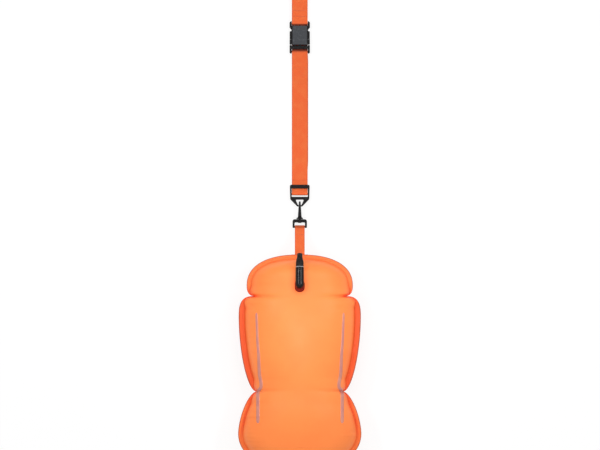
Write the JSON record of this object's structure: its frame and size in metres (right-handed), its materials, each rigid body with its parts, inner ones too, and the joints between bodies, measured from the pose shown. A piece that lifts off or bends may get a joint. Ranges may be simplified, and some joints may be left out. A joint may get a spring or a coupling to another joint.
{
  "type": "open water swim buoy",
  "caption": "Inflated three-lobed safety float with an oral valve, towed by a short leash, swivel snap hook and adjustable waist belt with side-release buckle.",
  "frame": {"origin": "on the surface that the buoy lies on, under the middle of its bounding box", "axes": "+Y from the float towards the far end of the stretched-out belt, +Z up out of the float's front face, +X to the right as seen from above with +Y up"},
  "size_m": [0.3076, 1.2373, 0.1574],
  "materials": {
    "float_skin": "satin coated cloth",
    "weld_tape": "satin",
    "webbing": "woven",
    "gloss_rubber": "gloss",
    "seal_rubber": "matte",
    "spring_steel": "bright",
    "black_plastic": "satin",
    "grey_plastic": "fine textured",
    "pale_plastic": "satin"
  },
  "bodies": {
    "float": {"front_panel": "float_skin", "back_panel": "float_skin", "anchor_patch": "weld_tape", "leash_sewn_end": "webbing", "valve_boss": "weld_tape"},
    "tube": {"valve_tube": "gloss_rubber", "valve_seal": "seal_rubber", "valve_spring": "spring_steel", "tube_washer": "pale_plastic"},
    "poppet": {"valve_poppet": "black_plastic"},
    "cap": {"dust_cap": "black_plastic"},
    "leash": {"leash_webbing": "webbing"},
    "base": {"swivel_base": "black_plastic"},
    "hook": {"snap_hook": "black_plastic"},
    "gate": {"snap_gate": "black_plastic"},
    "ring": {"belt_ring": "black_plastic"},
    "belt": {"belt_webbing": "webbing", "belt_front": "webbing", "buckle_socket": "grey_plastic"},
    "plug": {"buckle_plug": "black_plastic"},
    "arm_right": {"buckle_arm_right": "black_plastic"},
    "arm_left": {"buckle_arm_left": "black_plastic"}
  },
  "joints": [
    {"name": "leash_swing", "type": "hinge", "parent": "float", "child": "leash", "pos_m": [0, -0.074, 0.0702], "axis": [1, 0, 0], "range_deg": [-40, 60]},
    {"name": "base_swing", "type": "hinge", "parent": "leash", "child": "base", "pos_m": [0, -0.0085, 0.0102], "axis": [1, 0, 0], "range_deg": [-45, 40]},
    {"name": "hook_swivel", "type": "hinge", "parent": "base", "child": "hook", "pos_m": [0, 0.006, 0.0102], "axis": [0, 1, 0], "continuous": true},
    {"name": "gate_press", "type": "hinge", "parent": "hook", "child": "gate", "pos_m": [0, 0.0205, 0.0188], "axis": [-1, 0, 0], "range_deg": [0, 22], "stiffness_Nm_per_rad": 0.08, "springref_deg": -5.73},
    {"name": "ring_swing", "type": "hinge", "parent": "hook", "child": "ring", "pos_m": [0, 0.04425, 0.0102], "axis": [1, 0, 0], "range_deg": [-45, 30]},
    {"name": "belt_swing", "type": "hinge", "parent": "ring", "child": "belt", "pos_m": [0, 0.074, 0.0102], "axis": [1, 0, 0], "range_deg": [-50, 0]},
    {"name": "plug_pull", "type": "slide", "parent": "belt", "child": "plug", "axis": [0, -1, 0], "range_m": [0, 0.04], "deforming": ["belt_front", "buckle_arm_left", "buckle_arm_right"]},
    {"name": "arm_right_squeeze", "type": "hinge", "parent": "plug", "child": "arm_right", "pos_m": [0.013, 0.4446, 0.0072], "axis": [0, 0, 1], "range_deg": [0, 18], "stiffness_Nm_per_rad": 0.4, "springref_deg": -5.73},
    {"name": "arm_left_squeeze", "type": "hinge", "parent": "plug", "child": "arm_left", "pos_m": [-0.013, 0.4446, 0.0072], "axis": [0, 0, -1], "range_deg": [0, 18], "stiffness_Nm_per_rad": 0.4, "springref_deg": -5.73},
    {"name": "tube_lift", "type": "hinge", "parent": "float", "child": "tube", "pos_m": [0, -0.151, 0.147], "axis": [-1, 0, 0], "range_deg": [-75, 0]},
    {"name": "cap_pull", "type": "slide", "parent": "tube", "child": "cap", "axis": [0, -0.9877, 0.1564], "range_m": [-0.03, 0]},
    {"name": "poppet_press", "type": "slide", "parent": "tube", "child": "poppet", "axis": [0, -0.9877, 0.1564], "range_m": [0, 0.003], "stiffness_N_per_m": 400, "springref_m": -0.002, "deforming": ["valve_spring"]}
  ],
  "couplings": [
    {"joint": "arm_left_squeeze", "follows": "arm_right_squeeze", "ratio": 1}
  ]
}
